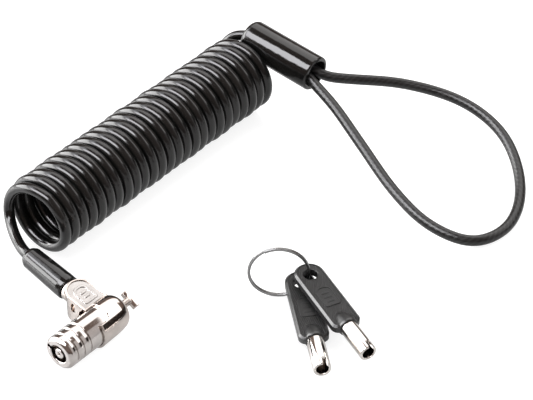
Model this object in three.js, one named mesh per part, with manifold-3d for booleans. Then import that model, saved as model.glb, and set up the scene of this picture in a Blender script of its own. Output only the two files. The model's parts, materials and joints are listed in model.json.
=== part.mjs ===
// A laptop cable lock: a small tubular-key lock with a quarter-turn T-bar, a coiled
// plastic-covered steel cable that ends in a crimped loop, and two tubular keys on a split ring.
//
// Units are millimetres and +Z is up. The origin is the centre of the T-bar's outer end face, +X runs
// along the lock's axis out of its nose, and the whole object lies on a table at z = FLOOR_Z.

import * as THREE from 'three';
import { mergeVertices } from 'three/addons/utils/BufferGeometryUtils.js';
import Module from 'manifold-3d';

const wasm = await Module();
wasm.setup();

const DEG = Math.PI / 180;

// ---------------------------------------------------------------- driving dimensions

// Lock head, coaxial with X.
const FACE_X = -37.5; // key face of the barrel
const BARREL_R = 6.3;
const HOUSING_R = 7.3;
const FLOOR_Z = -HOUSING_R;
const HOUSING_FRONT_X = -21.8;
const HOUSING_REAR_X = -12.0; // end of the straight part, before the rounded nose
const NOSE_X = -7.0;
const NOSE_R = 3.9;
const SLEEVE_END_X = -13.0;
const GROOVE_SPACING = 3.3;
const GROOVE_WIDTH = 0.9;
const GROOVE_DEPTH = 0.5;
const FIRST_GROOVE_X = FACE_X + 3.4;

// Tubular key mechanism.
const KEYWAY_R = 3.45;
const POST_R = 1.95;
const PLUG_BORE_R = 5.0;
const PLUG_X = [-31.5, -26.5]; // rotating plug that carries the key pins
const SHELL_X = [-26.2, -16.0]; // fixed shell that carries the driver pins and springs
const PIN_COUNT = 5;
const PIN_CIRCLE_R = 2.75;
const PIN_R = 0.6;
const PIN_BORE_R = 0.78;

// T-bar that enters a 3 x 7 mm security slot.
const BAR_LENGTH = 6.9;
const BAR_DEPTH = 2.6; // along the lock's axis
const BAR_THICKNESS = 1.9;
const BAR_ROLL = 30 * DEG;
const NECK_R = 1.45;

// Cable and its lug.
const CABLE_R = 2.0;
const LUG_X = -14.2; // where the lug's bore axis leaves the lock's axis
const LUG_YAW = 6.3 * DEG; // the cable leans towards the nose
const LUG_RISE = 5 * DEG; // and rises a little
const LUG_Y = 10.6; // centre of the lug's round end
const LUG_R = 5.2;
const LUG_BOTTOM_Z = -4.2;
const COLLAR_START = 16.2; // along the lug's bore axis
const BADGE_TILT = 12 * DEG;
const BADGE_TOP = 4.8; // above the lock's axis, square to the plate
const BADGE_THICKNESS = 1.3;
const BOOT_LENGTH = 21.5;
const BOOT_R = [4.45, 4.0];

// Coil, parallel to the lock.
const COIL_Y = 49.2;
const COIL_Z = 7.8;
const COIL_X = 2.5;
const COIL_R = 13.1; // to the cable's centreline
const COIL_PITCH = 4.65;
const COIL_TURNS = 25;

// Loop: a plane that starts at the clamp and slopes down to the table.
const LOOP_SLOPE = 11.5 * DEG;
const CLAMP_X = 125.5;
const CLAMP_Y = 52.4;
const CLAMP_Z = 20.6;
const CLAMP_LENGTH = 33;
const CLAMP_R = 6.9;
const STRAND_OFFSET = 2.25; // of each of the two strands from the clamp's axis

// Keys and their ring.
const KEY_LENGTH = 48;
const KEY_TUBE_LENGTH = 13.8;
const KEY_TUBE_R = 3.15;
const KEY_TUBE_BORE_R = 2.2;
const BOW_WIDTH = 10.8;
const BOW_THICKNESS = 3.6;
const BOW_HOLE_R = 2.5;
const BOW_HOLE_FROM_END = 6.1;
const RING_R = 10.5; // to the wire's centreline
const RING_WIRE = 1.1;

// ---------------------------------------------------------------- materials

function finish(colour, roughness, metalness) {
  return new THREE.MeshStandardMaterial({ color: colour, roughness, metalness });
}

const nickel = finish(0xb9b4ae, 0.22, 1.0);
const steel = finish(0x9d9c99, 0.35, 1.0);
const brass = finish(0xb08d4a, 0.35, 1.0);
const springSteel = finish(0x8a8a88, 0.4, 1.0);
const cableJacket = finish(0x17181a, 0.25, 0.0);
const rubber = finish(0x141416, 0.3, 0.0);
const keyPlastic = finish(0x232427, 0.5, 0.0);

// ---------------------------------------------------------------- solids

// Turns a closed geometry into a solid whose faces point outwards.
function toSolid(geometry) {
  const bare = geometry.clone();
  bare.deleteAttribute('normal');
  bare.deleteAttribute('uv');
  const merged = mergeVertices(bare, 1e-4);
  const vertices = merged.attributes.position.array;
  const source = merged.index.array;
  const triangles = [];
  let volume = 0;
  const corner = [new THREE.Vector3(), new THREE.Vector3(), new THREE.Vector3()];
  for (let i = 0; i < source.length; i += 3) {
    const [a, b, c] = [source[i], source[i + 1], source[i + 2]];
    if (a === b || b === c || c === a) continue;
    triangles.push(a, b, c);
    [a, b, c].forEach((v, k) => corner[k].fromArray(vertices, 3 * v));
    volume += corner[0].dot(corner[1].cross(corner[2]));
  }
  if (volume < 0) triangles.reverse();
  const mesh = new wasm.Mesh({
    numProp: 3,
    vertProperties: new Float32Array(vertices),
    triVerts: new Uint32Array(triangles),
  });
  return new wasm.Manifold(mesh);
}

function toGeometry(solid) {
  const mesh = solid.getMesh();
  const geometry = new THREE.BufferGeometry();
  geometry.setAttribute('position', new THREE.BufferAttribute(new Float32Array(mesh.vertProperties), 3));
  geometry.setIndex(new THREE.BufferAttribute(new Uint32Array(mesh.triVerts), 1));
  geometry.computeVertexNormals();
  return geometry;
}

function fuse(...solids) {
  return solids.reduce((whole, next) => whole.add(next));
}

function cut(solid, ...tools) {
  return tools.reduce((rest, tool) => rest.subtract(tool), solid);
}

// A solid of revolution about X. The profile is a list of [x, radius] points.
function turned(profile, segments = 28, closed = false) {
  const points = profile.map(([x, r]) => new THREE.Vector2(r, x));
  if (closed) points.push(points[0].clone());
  const geometry = new THREE.LatheGeometry(points, segments);
  geometry.rotateZ(-Math.PI / 2);
  return toSolid(geometry);
}

// A plain rod about X from x0 to x1.
function rod(x0, x1, radius, segments = 20) {
  return turned([[x0, 0], [x0, radius], [x1, radius], [x1, 0]], segments);
}

// A tube about X from x0 to x1.
function tube(x0, x1, outer, inner, segments = 28) {
  return turned([[x0, inner], [x0, outer], [x1, outer], [x1, inner]], segments, true);
}

function box(size, centre) {
  const geometry = new THREE.BoxGeometry(...size);
  geometry.translate(...centre);
  return toSolid(geometry);
}

// The same solid moved by a matrix.
function moved(solid, matrix) {
  return toSolid(toGeometry(solid).applyMatrix4(matrix));
}

function shiftRod(x0, x1, radius, y, z, segments = 12) {
  return moved(rod(x0, x1, radius, segments), new THREE.Matrix4().makeTranslation(0, y, z));
}

// A flat shape in a plane, extruded along its normal.
function slab(shape, depth, curveSegments = 8) {
  return new THREE.ExtrudeGeometry(shape, { depth, bevelEnabled: false, curveSegments });
}

// A round cable along a curve.
function cable(curve, steps, radius = CABLE_R, sides = 8) {
  const section = new THREE.Shape();
  for (let i = 0; i < sides; i += 1) {
    const angle = (2 * Math.PI * i) / sides;
    const point = [radius * Math.cos(angle), radius * Math.sin(angle)];
    if (i === 0) section.moveTo(...point);
    else section.lineTo(...point);
  }
  section.closePath();
  return toSolid(new THREE.ExtrudeGeometry(section, { steps, extrudePath: curve }));
}

function place(parent, name, solid, material) {
  const mesh = new THREE.Mesh(toGeometry(solid), material);
  mesh.name = name;
  parent.add(mesh);
  return mesh;
}

const lock = new THREE.Group();

// ---------------------------------------------------------------- lug frame

// The lug's bore axis: local X of this frame, starting on the lock's axis.
const lugFrame = new THREE.Matrix4().makeTranslation(LUG_X, 0, 0);
lugFrame.multiply(new THREE.Matrix4().makeRotationZ(Math.PI / 2 - LUG_YAW));
lugFrame.multiply(new THREE.Matrix4().makeRotationY(-LUG_RISE));

function onLugAxis(distance) {
  return new THREE.Vector3(distance, 0, 0).applyMatrix4(lugFrame);
}

// ---------------------------------------------------------------- housing

// D-shaped badge plate: straight edge along the barrel, round end towards the cable.
function badgeOutline(inset) {
  const half = 5.6 - inset;
  const start = 4.4 + inset;
  const shape = new THREE.Shape();
  shape.moveTo(-half, start);
  shape.lineTo(half, start);
  shape.lineTo(half, 11.7);
  shape.absarc(0, 11.7, half, 0, Math.PI, false);
  shape.closePath();
  return shape;
}

const badgeFrame = new THREE.Matrix4().makeTranslation(LUG_X - 0.2, 0, 0);
badgeFrame.multiply(new THREE.Matrix4().makeRotationX(BADGE_TILT));

function badgePlate() {
  const plate = slab(badgeOutline(0), BADGE_THICKNESS);
  plate.translate(0, 0, BADGE_TOP - BADGE_THICKNESS);
  const panel = slab(badgeOutline(1.0), 1.0);
  panel.translate(0, 0, BADGE_TOP - 0.25);
  return cut(toSolid(plate.applyMatrix4(badgeFrame)), toSolid(panel.applyMatrix4(badgeFrame)));
}

// Upright block with a round end, under the badge plate; the cable's swivel sits in it.
function lugBlock() {
  const shape = new THREE.Shape();
  shape.moveTo(-LUG_R, 4.0);
  shape.lineTo(LUG_R, 4.0);
  shape.lineTo(LUG_R, LUG_Y);
  shape.absarc(0, LUG_Y, LUG_R, 0, Math.PI, false);
  shape.closePath();
  const bevel = { bevelEnabled: true, bevelThickness: 1.2, bevelSize: 1.2, bevelOffset: -1.2, bevelSegments: 3 };
  const block = new THREE.ExtrudeGeometry(shape, { depth: 12, curveSegments: 12, ...bevel });
  block.translate(LUG_X - 0.2, 0, LUG_BOTTOM_Z + 1.2);
  const above = box([30, 40, 20], [0, 10, BADGE_TOP - BADGE_THICKNESS / 2 + 10]);
  return cut(toSolid(block), moved(above, badgeFrame));
}

// Blind slot-shaped window in the side of the lug block.
function lugWindow() {
  const shape = new THREE.Shape();
  shape.absarc(0, 1.15, 0.85, 0, Math.PI, false);
  shape.absarc(0, -1.15, 0.85, Math.PI, 2 * Math.PI, false);
  shape.closePath();
  const geometry = slab(shape, 3.0);
  geometry.rotateX(Math.PI / 2);
  geometry.rotateZ(Math.PI / 2);
  geometry.translate(LUG_X - LUG_R - 1.0, 9.9, 2.9);
  return toSolid(geometry);
}

function housing() {
  const round = NOSE_X - HOUSING_REAR_X;
  const profile = [[HOUSING_FRONT_X, BARREL_R + 0.15], [HOUSING_FRONT_X, HOUSING_R - 0.25]];
  profile.push([HOUSING_FRONT_X + 0.25, HOUSING_R]);
  for (let i = 0; i <= 5; i += 1) {
    const angle = (i / 5) * 90 * DEG;
    const x = HOUSING_REAR_X + round * Math.sin(angle);
    profile.push([x, NOSE_R + (HOUSING_R - NOSE_R) * Math.cos(angle)]);
  }
  profile.push([NOSE_X, NECK_R + 0.3], [-10.6, NECK_R + 0.3], [-10.6, 3.4]);
  profile.push([SLEEVE_END_X + 0.3, 3.4], [SLEEVE_END_X + 0.3, BARREL_R + 0.15]);
  const shell = turned(profile, 36, true);
  const notch = new THREE.Shape();
  const [notchEnd, notchSide, corner] = [-16.2, -5.2, 2.4];
  notch.moveTo(HOUSING_FRONT_X - 2, notchSide);
  notch.lineTo(notchEnd - corner, notchSide);
  notch.absarc(notchEnd - corner, notchSide + corner, corner, -Math.PI / 2, 0, false);
  notch.lineTo(notchEnd, 5);
  notch.lineTo(HOUSING_FRONT_X - 2, 5);
  notch.closePath();
  const notchSolid = toSolid(slab(notch, 12));
  const bore = rod(-45, SLEEVE_END_X + 0.3, BARREL_R + 0.15, 36);
  const cavity = rod(SLEEVE_END_X, -10.6, 3.4);
  const studBore = moved(rod(8.6, 30, 2.75, 24), lugFrame);
  const pinHole = moved(shiftRod(-6, 4.4, 0.75, -2.6, 0), crossPinFrame());
  const body = fuse(cut(shell, notchSolid), lugBlock(), badgePlate());
  return cut(body, bore, cavity, studBore, pinHole, sleevePinHole(), lugWindow());
}

// Across the lug, level with the stud's groove: local X runs along the world's X.
function crossPinFrame() {
  const frame = lugFrame.clone();
  frame.multiply(new THREE.Matrix4().makeTranslation(12.2, 0, 0));
  frame.multiply(new THREE.Matrix4().makeRotationZ(Math.PI / 2));
  frame.multiply(new THREE.Matrix4().makeRotationX(Math.PI / 2));
  return frame;
}

// Radial hole for the pin that locks sleeve and pin shell into the housing, from below.
function sleevePinHole() {
  const hole = rod(3.9, 9, 0.85, 12);
  const frame = new THREE.Matrix4().makeTranslation(-19.5, 0, 0);
  frame.multiply(new THREE.Matrix4().makeRotationY(Math.PI / 2));
  return moved(hole, frame);
}

// ---------------------------------------------------------------- barrel

function barrelSleeve() {
  const profile = [[FACE_X, KEYWAY_R + 0.25], [FACE_X, BARREL_R - 1.1], [FACE_X + 0.35, BARREL_R - 0.4]];
  profile.push([FACE_X + 1.0, BARREL_R]);
  for (let i = 0; i < 3; i += 1) {
    const x = FIRST_GROOVE_X + i * GROOVE_SPACING;
    const half = GROOVE_WIDTH / 2;
    profile.push([x - half, BARREL_R], [x - half, BARREL_R - GROOVE_DEPTH]);
    profile.push([x + half, BARREL_R - GROOVE_DEPTH], [x + half, BARREL_R]);
  }
  profile.push([SLEEVE_END_X, BARREL_R], [SLEEVE_END_X, PLUG_BORE_R], [PLUG_X[0] - 0.2, PLUG_BORE_R]);
  profile.push([PLUG_X[0] - 0.2, KEYWAY_R], [FACE_X + 0.25, KEYWAY_R]);
  const notch = box([2.4, 2.6, 1.5], [FACE_X + 1.0, KEYWAY_R + 0.4, 0]);
  const turn = new THREE.Matrix4().makeRotationX(20 * DEG);
  return cut(turned(profile, 36, true), moved(notch, turn), sleevePinHole());
}

function pinPlace(index) {
  const angle = 90 * DEG + (index * 2 * Math.PI) / PIN_COUNT;
  return [PIN_CIRCLE_R * Math.cos(angle), PIN_CIRCLE_R * Math.sin(angle)];
}

function keyPlug() {
  const [x0, x1] = PLUG_X;
  const body = turned([
    [FACE_X + 0.3, 0], [FACE_X + 0.3, POST_R - 0.35], [FACE_X + 0.65, POST_R], [x0, POST_R],
    [x0, PLUG_BORE_R - 0.2], [x1, PLUG_BORE_R - 0.2], [x1, 0],
  ]);
  const dimple = rod(FACE_X, FACE_X + 1.6, 0.6, 12);
  const driveSlot = box([2.4, 0.9, 0.9], [FACE_X + 1.4, POST_R, 0]);
  const socket = moved(box([3.2, 2.2, 2.2], [x1 - 1.4, 0, 0]), new THREE.Matrix4().makeRotationX(BAR_ROLL));
  const bores = [];
  for (let i = 0; i < PIN_COUNT; i += 1) bores.push(shiftRod(x0 - 1, x1 + 1, PIN_BORE_R, ...pinPlace(i)));
  return cut(body, dimple, driveSlot, socket, ...bores);
}

function pinShell() {
  const [x0, x1] = SHELL_X;
  const body = tube(x0, x1, PLUG_BORE_R - 0.15, 1.75);
  const bores = [];
  for (let i = 0; i < PIN_COUNT; i += 1) bores.push(shiftRod(x0 - 1, x1 - 1.0, PIN_BORE_R, ...pinPlace(i)));
  return cut(body, sleevePinHole(), ...bores);
}

function roundedPin(x0, x1, y, z) {
  const tip = 0.25;
  const profile = [[x0, 0], [x0, PIN_R - tip], [x0 + tip, PIN_R], [x1, PIN_R], [x1, 0]];
  return moved(turned(profile, 10), new THREE.Matrix4().makeTranslation(0, y, z));
}

class HelixCurve extends THREE.Curve {
  constructor(start, radius, pitch, turns) {
    super();
    Object.assign(this, { start, radius, pitch, turns });
  }

  getPoint(t, target = new THREE.Vector3()) {
    const angle = 2 * Math.PI * this.turns * t;
    const x = this.start.x + this.pitch * this.turns * t;
    const y = this.start.y + this.radius * Math.cos(angle);
    return target.set(x, y, this.start.z + this.radius * Math.sin(angle));
  }
}

function pinSpring(x0, x1, y, z) {
  const turns = 5;
  const curve = new HelixCurve(new THREE.Vector3(x0, y, z), 0.45, (x1 - x0) / turns, turns);
  return cable(curve, turns * 8, 0.13, 4);
}

place(lock, 'lock_housing', housing(), nickel);
place(lock, 'barrel_sleeve', barrelSleeve(), nickel);
place(lock, 'pin_shell', pinShell(), brass);
place(lock, 'sleeve_pin', moved(rod(4.2, 7.1, 0.7, 12), new THREE.Matrix4()
  .makeTranslation(-19.5, 0, 0).multiply(new THREE.Matrix4().makeRotationY(Math.PI / 2))), steel);
place(lock, 'key_plug', keyPlug(), nickel);
for (let i = 0; i < PIN_COUNT; i += 1) {
  place(lock, `key_pin_${i + 1}`, roundedPin(-30.9, -26.6, ...pinPlace(i)), brass);
  place(lock, `driver_pin_${i + 1}`, roundedPin(-26.1, -22.8, ...pinPlace(i)), steel);
  place(lock, `pin_spring_${i + 1}`, pinSpring(-22.4, -17.3, ...pinPlace(i)), springSteel);
}

// ---------------------------------------------------------------- T-bar spindle

function tBar() {
  const bar = new THREE.Shape();
  const [half, thick, bevel] = [BAR_LENGTH / 2, BAR_THICKNESS / 2, 0.3];
  bar.moveTo(-half + bevel, -thick);
  bar.lineTo(half - bevel, -thick);
  bar.lineTo(half, -thick + bevel);
  bar.lineTo(half, thick - bevel);
  bar.lineTo(half - bevel, thick);
  bar.lineTo(-half + bevel, thick);
  bar.lineTo(-half, thick - bevel);
  bar.lineTo(-half, -thick + bevel);
  bar.closePath();
  const geometry = slab(bar, BAR_DEPTH);
  geometry.rotateX(Math.PI / 2);
  geometry.rotateZ(Math.PI / 2);
  geometry.translate(-BAR_DEPTH, 0, 0);
  const shaft = rod(PLUG_X[1] + 0.4, -BAR_DEPTH + 0.3, NECK_R, 20);
  const groove = tube(-12.35, -11.45, 2.0, 1.1, 20);
  const square = box([3.0, 1.7, 1.7], [PLUG_X[1] - 0.9, 0, 0]);
  return fuse(cut(fuse(toSolid(geometry), shaft), groove), square);
}

const spindle = new THREE.Group();
spindle.rotation.x = BAR_ROLL;
lock.add(spindle);
place(spindle, 't_bar', tBar(), nickel);
place(spindle, 'spindle_clip', tube(-12.1, -11.6, 2.9, 1.3, 20), springSteel);

// ---------------------------------------------------------------- cable end at the lug

function swivelStud() {
  const profile = [[9.0, 0], [9.0, 2.45], [11.3, 2.45], [11.3, 1.5], [13.1, 1.5], [13.1, 2.45]];
  profile.push([COLLAR_START, 2.45], [COLLAR_START, 3.6], [COLLAR_START + 0.3, 3.9]);
  profile.push([COLLAR_START + 2.7, 3.9], [COLLAR_START + 2.7, 1.7], [14.6, 1.7], [14.6, 0]);
  return turned(profile, 24);
}

const lugGroup = new THREE.Group();
lugGroup.applyMatrix4(lugFrame);
lock.add(lugGroup);

const BOOT_START = COLLAR_START + 3.0;
const BOOT_END = BOOT_START + BOOT_LENGTH;

function boot() {
  const [r0, r1] = BOOT_R;
  const profile = [[BOOT_START, 1.6], [BOOT_START, r0 - 0.5], [BOOT_START + 0.5, r0]];
  profile.push([BOOT_END - 2.0, r1], [BOOT_END - 0.6, r1 - 0.6], [BOOT_END, r1 - 1.4]);
  profile.push([BOOT_END, CABLE_R + 0.45], [BOOT_END - 2, CABLE_R + 0.3]);
  profile.push([BOOT_START + 2.2, CABLE_R + 0.3], [BOOT_START + 2.2, 1.6]);
  return turned(profile, 24, true);
}

place(lugGroup, 'swivel_stud', swivelStud(), nickel);
place(lugGroup, 'cable_boot', boot(), rubber);
place(lugGroup, 'rope_end', rod(14.9, BOOT_START + 2.2, 1.3, 12), steel);
place(lock, 'swivel_pin', moved(shiftRod(-5.0, 4.0, 0.6, -2.6, 0), crossPinFrame()), steel);

// ---------------------------------------------------------------- coiled cable

const clampFrame = new THREE.Matrix4().makeTranslation(CLAMP_X, CLAMP_Y, CLAMP_Z);
clampFrame.multiply(new THREE.Matrix4().makeRotationX(LOOP_SLOPE));
clampFrame.multiply(new THREE.Matrix4().makeRotationZ(-Math.PI / 2));

// A point in the loop's plane: u along the clamp, w across it, towards +X.
function inLoopPlane(u, w) {
  return new THREE.Vector3(u, w, 0).applyMatrix4(clampFrame);
}

// The whole cable from the boot through the coil to the clamp.
class CoilCableCurve extends THREE.Curve {
  constructor() {
    super();
    const point = (turn, radius = COIL_R) => new THREE.Vector3(
      COIL_X + turn * COIL_PITCH,
      COIL_Y + radius * Math.cos(2 * Math.PI * turn),
      COIL_Z + radius * Math.sin(2 * Math.PI * turn),
    );
    const points = [onLugAxis(BOOT_START + 2.5), onLugAxis(BOOT_START + 9), onLugAxis(BOOT_START + 15)];
    points.push(onLugAxis(BOOT_END - 1), onLugAxis(BOOT_END + 1.5));
    points.push(new THREE.Vector3(-7.6, 46.3, 2.7), new THREE.Vector3(-4.9, 51.2, 1.5));
    points.push(new THREE.Vector3(-1.2, 57.3, 1.2), new THREE.Vector3(1.5, 61.1, 3.8));
    const perTurn = 12;
    for (let i = 0; i <= perTurn * COIL_TURNS; i += 1) points.push(point(i / perTurn));
    points.push(new THREE.Vector3(121.6, 61.2, 14.0));
    points.push(new THREE.Vector3(124.4, 57.2, 19.4));
    points.push(inLoopPlane(0.5, 0), inLoopPlane(5.5, 0));
    this.path = new THREE.CatmullRomCurve3(points, false, 'centripetal');
  }

  getPoint(t, target) {
    return this.path.getPoint(t, target);
  }
}

const coilCurve = new CoilCableCurve();
const coilSteps = Math.round(14 * COIL_TURNS + 24);
place(lock, 'coil_cable', cable(coilCurve, coilSteps, CABLE_R, 6), cableJacket);

// ---------------------------------------------------------------- clamp and loop

const clamp = new THREE.Group();
clamp.applyMatrix4(clampFrame);
lock.add(clamp);

function clampSleeve() {
  const end = CLAMP_LENGTH;
  const profile = [[0, 0], [0, CLAMP_R - 2.4], [0.7, CLAMP_R - 0.9], [2.4, CLAMP_R]];
  profile.push([end - 2.4, CLAMP_R], [end - 0.8, CLAMP_R - 0.8], [end, CLAMP_R - 2.0], [end, 0]);
  const mouth = rod(end - 3.2, end + 1, 5.1, 24);
  const pocket = box([14.8, 10.3, 5.8], [17, 0, 0]);
  const entry = rod(-1, 8, CABLE_R + 0.3, 16);
  const strands = [-1, 1].map((side) => {
    const path = new THREE.LineCurve3(
      new THREE.Vector3(7, side * STRAND_OFFSET, 0),
      new THREE.Vector3(end + 1, side * STRAND_OFFSET, 0),
    );
    return cable(path, 1, CABLE_R + 0.4, 16);
  });
  return cut(turned(profile), mouth, pocket, entry, ...strands);
}

function crimpFerrule() {
  const shape = new THREE.Shape();
  shape.absarc(STRAND_OFFSET, 0, 2.6, -Math.PI / 2, Math.PI / 2, false);
  shape.absarc(-STRAND_OFFSET, 0, 2.6, Math.PI / 2, 1.5 * Math.PI, false);
  shape.closePath();
  const geometry = slab(shape, 13.6);
  geometry.rotateX(Math.PI / 2);
  geometry.rotateZ(Math.PI / 2);
  geometry.translate(10.2, 0, 0);
  const holes = [-1, 1].map((side) => shiftRod(5, 30, CABLE_R + 0.1, side * STRAND_OFFSET, 0, 16));
  return cut(toSolid(geometry), ...holes);
}

function loopCable() {
  const shape = [
    [8.5, STRAND_OFFSET], [20, STRAND_OFFSET], [29.5, STRAND_OFFSET], [33.5, 2.7], [42, 9.6],
    [58, 24.2], [79, 33.8], [98, 32.4], [114.5, 21.6], [126, 6.5], [129.7, -8], [125, -21.6],
    [110, -26.9], [92, -24], [66, -13.7], [47, -6.0], [34, -2.5], [29.5, -STRAND_OFFSET],
    [20, -STRAND_OFFSET], [8.5, -STRAND_OFFSET],
  ];
  const points = shape.map(([u, w]) => new THREE.Vector3(u, w, 0));
  return cable(new THREE.CatmullRomCurve3(points, false, 'centripetal'), 72, CABLE_R, 8);
}

place(clamp, 'clamp_sleeve', clampSleeve(), rubber);
place(clamp, 'crimp_ferrule', crimpFerrule(), steel);
place(clamp, 'loop_cable', loopCable(), cableJacket);

// ---------------------------------------------------------------- keys

// In the key's frame the ring hole is at the origin and the tube points along -Y.
const BOW_END_Y = BOW_HOLE_FROM_END;
const TUBE_START_Y = BOW_END_Y - (KEY_LENGTH - KEY_TUBE_LENGTH);
const TUBE_END_Y = BOW_END_Y - KEY_LENGTH;

function bowOutline() {
  const half = BOW_WIDTH / 2;
  const bottom = TUBE_START_Y;
  const corner = 2.8;
  const shape = new THREE.Shape();
  shape.moveTo(-half + corner, bottom);
  shape.absarc(half - corner, bottom + corner, corner, -Math.PI / 2, 0, false);
  shape.absarc(0, BOW_END_Y - half, half, 0, Math.PI, false);
  shape.absarc(-half + corner, bottom + corner, corner, Math.PI, 1.5 * Math.PI, false);
  shape.closePath();
  return shape;
}

function keyBow() {
  const plate = slab(bowOutline(), BOW_THICKNESS, 6);
  plate.translate(0, 0, -BOW_THICKNESS / 2);
  const hole = new THREE.CylinderGeometry(BOW_HOLE_R, BOW_HOLE_R, 8, 16);
  hole.rotateX(Math.PI / 2);
  const along = new THREE.Matrix4().makeRotationZ(-Math.PI / 2);
  const boss = moved(turned([
    [-TUBE_START_Y - 7, 0], [-TUBE_START_Y - 5.5, 2.6], [-TUBE_START_Y - 2.5, 3.6],
    [-TUBE_START_Y, 3.75], [-TUBE_START_Y, 0],
  ], 20), along);
  return cut(fuse(toSolid(plate), boss), toSolid(hole), blindSocket());
}

// The tube's shank sits in this round pocket in the bow's lower end.
function blindSocket() {
  const along = new THREE.Matrix4().makeRotationZ(-Math.PI / 2);
  return moved(rod(-TUBE_START_Y - 6, -TUBE_START_Y + 1, 1.45, 16), along);
}

function keyTube() {
  const along = new THREE.Matrix4().makeRotationZ(-Math.PI / 2);
  const start = -TUBE_START_Y + 0.3;
  const end = -TUBE_END_Y;
  const body = turned([
    [start - 6, 0], [start - 6, 1.2], [start, 1.2], [start, KEY_TUBE_R],
    [end - 0.5, KEY_TUBE_R], [end, KEY_TUBE_R - 0.4], [end, 0],
  ], 24);
  const bore = rod(end - 8, end + 1, KEY_TUBE_BORE_R, 16);
  const notch = box([2.2, 1.6, 3], [end - 3.0, 0.9, KEY_TUBE_R]);
  return moved(cut(body, bore, notch), along);
}

function addKey(letter, position, heading, tilt) {
  const key = new THREE.Group();
  key.position.copy(position);
  key.rotation.set(tilt, 0, heading, 'ZYX');
  lock.add(key);
  place(key, `key_${letter}_bow`, keyBow(), keyPlastic);
  place(key, `key_${letter}_tube`, keyTube(), nickel);
}

const KEY_TILT = 2 * DEG;
addKey('b', new THREE.Vector3(44.6, -38.9, FLOOR_Z + 4.6), -40.4 * DEG, KEY_TILT);
addKey('a', new THREE.Vector3(46.6, -41.7, FLOOR_Z + 8.55), -21.9 * DEG, KEY_TILT);

function splitRing() {
  const half = RING_WIRE / 2;
  return turned([
    [-half, RING_R - half], [-half, RING_R + half], [half, RING_R + half], [half, RING_R - half],
  ], 40, true);
}

const ring = new THREE.Group();
ring.position.set(39.5, -33.2, FLOOR_Z + RING_R + RING_WIRE / 2 + 0.05);
ring.rotation.z = 39.7 * DEG;
lock.add(ring);
place(ring, 'split_ring', splitRing(), steel);

export default lock;
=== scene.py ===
"""Looks for the laptop cable lock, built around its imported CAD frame. Lengths in the code are millimetres."""

import json
import math

import bpy
import bmesh
import numpy as np
from mathutils import Matrix, Vector


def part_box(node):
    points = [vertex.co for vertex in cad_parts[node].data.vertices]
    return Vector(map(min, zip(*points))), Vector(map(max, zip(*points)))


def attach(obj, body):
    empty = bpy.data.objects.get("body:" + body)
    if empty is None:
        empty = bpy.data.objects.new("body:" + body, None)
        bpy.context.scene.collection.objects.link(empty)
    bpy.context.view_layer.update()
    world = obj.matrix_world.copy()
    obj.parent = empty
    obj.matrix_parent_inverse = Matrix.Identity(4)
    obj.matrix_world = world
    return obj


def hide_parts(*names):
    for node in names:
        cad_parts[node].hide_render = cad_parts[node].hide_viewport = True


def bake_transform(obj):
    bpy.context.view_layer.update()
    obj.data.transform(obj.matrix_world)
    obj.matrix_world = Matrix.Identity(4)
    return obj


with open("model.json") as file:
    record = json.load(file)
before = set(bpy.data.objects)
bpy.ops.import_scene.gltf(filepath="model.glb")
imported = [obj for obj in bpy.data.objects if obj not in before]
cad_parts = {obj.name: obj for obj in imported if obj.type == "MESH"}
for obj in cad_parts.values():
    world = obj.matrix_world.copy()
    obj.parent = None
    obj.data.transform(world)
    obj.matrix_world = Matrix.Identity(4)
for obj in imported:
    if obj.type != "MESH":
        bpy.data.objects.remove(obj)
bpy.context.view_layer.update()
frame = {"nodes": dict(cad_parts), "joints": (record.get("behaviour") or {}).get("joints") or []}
JOINTS = {joint["name"]: joint for joint in frame["joints"]}

MM = 0.001
TAU = 2 * math.pi
HERE = Matrix.Identity(4)


def node_box(name):
    """A CAD node's lowest and highest corner, in millimetres."""
    low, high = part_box(name)
    return low / MM, high / MM


# ---- dimensions

SLEEVE_LOW, SLEEVE_HIGH = node_box("barrel_sleeve")
FACE_X = SLEEVE_LOW.x
SLEEVE_END_X = SLEEVE_HIGH.x
BARREL_R = SLEEVE_HIGH.y
FLOOR_Z = node_box("lock_housing")[0].z
HOUSING_R = -FLOOR_Z
HOUSING_BORE = BARREL_R + 0.12
HOUSING_FRONT_X = -21.8
NOSE_X = -7.0
KEYWAY_R = 3.45
POST_R = 1.95
SPINDLE_R = 1.45
SPINDLE_BORE = 1.75
CLIP_ROOM_X = -10.6
CLIP_ROOM_R = 3.4
SLEEVE_PIN_X = -19.5
SLEEVE_PIN_BORE = 0.85
BAR_ROLL = Matrix.Rotation(math.radians(30), 4, "X")

PIN_CIRCLE = 2.75
PIN_R = 0.6
PIN_BORE = 0.78
KEY_PIN_X = (-30.9, -26.6)
DRIVER_X = (-26.1, -22.8)
SPRING_X = (-22.6, -17.2)
SPRING_TURNS = 6.5
SPRING_R = 0.45

LUG_PIVOT = Vector(JOINTS["cable_swivel"]["pos_m"]) / MM
LUG_AXIS = Vector(JOINTS["cable_swivel"]["axis"])
LUG_CENTRE_X = LUG_PIVOT.x - 0.2
LUG_Y = 10.6
LUG_R = 5.2
BADGE_TOP = 4.8
BADGE_TILT = math.radians(12)
PLATE_LOW = BADGE_TOP - 1.3
CROSS_PIN_X = 12.2
COLLAR_START = 16.2
BOOT_START = COLLAR_START + 3.0
BOOT_END = BOOT_START + 21.5

CABLE_R = 2.0
COIL_CENTRE = Vector((2.5, 49.2, 7.8))
COIL_R = 13.1
COIL_PITCH = 4.65
COIL_TURNS = 25
CLAMP_LENGTH = 33.0
CLAMP_R = 6.9
STRAND = 2.25
STRAND_BORE = 2.06

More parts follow.
